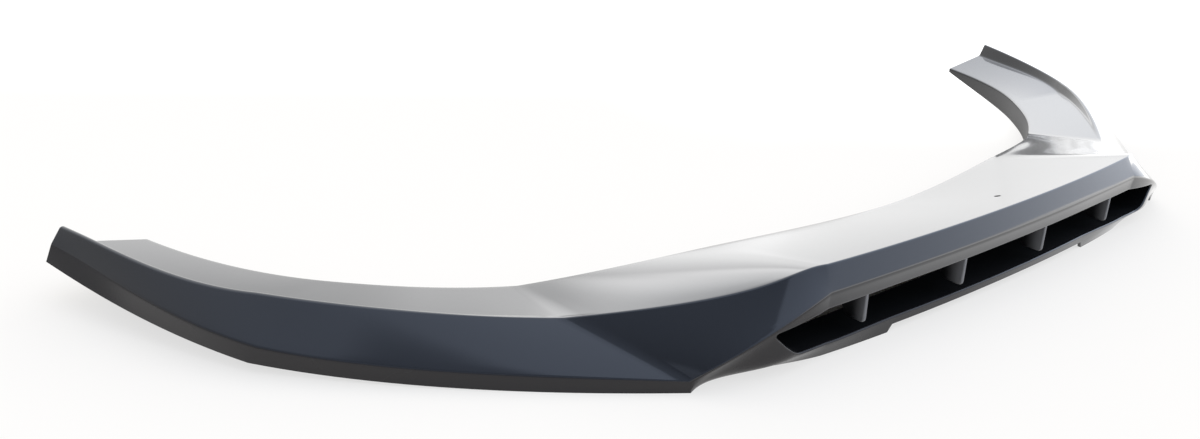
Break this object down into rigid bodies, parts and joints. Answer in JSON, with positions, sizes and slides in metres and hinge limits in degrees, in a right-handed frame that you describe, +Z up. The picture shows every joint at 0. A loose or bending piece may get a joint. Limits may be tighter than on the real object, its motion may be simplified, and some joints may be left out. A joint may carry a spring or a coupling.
{
  "type": "front splitter lip",
  "caption": "One-piece gloss black front splitter lip with a raised slotted centre, faceted corners and two swept arms ending in winglets.",
  "frame": {"origin": "centre of the bounding box at the level of the lowest edge", "axes": "+X towards the car's left side, along the lip's width; -Y towards the front of the car; +Z up"},
  "size_m": [1.844, 0.6515, 0.1037],
  "materials": {
    "gloss_black": "high gloss, painted black"
  },
  "bodies": {
    "root": {"splitter_lip": "gloss_black"}
  },
  "joints": []
}
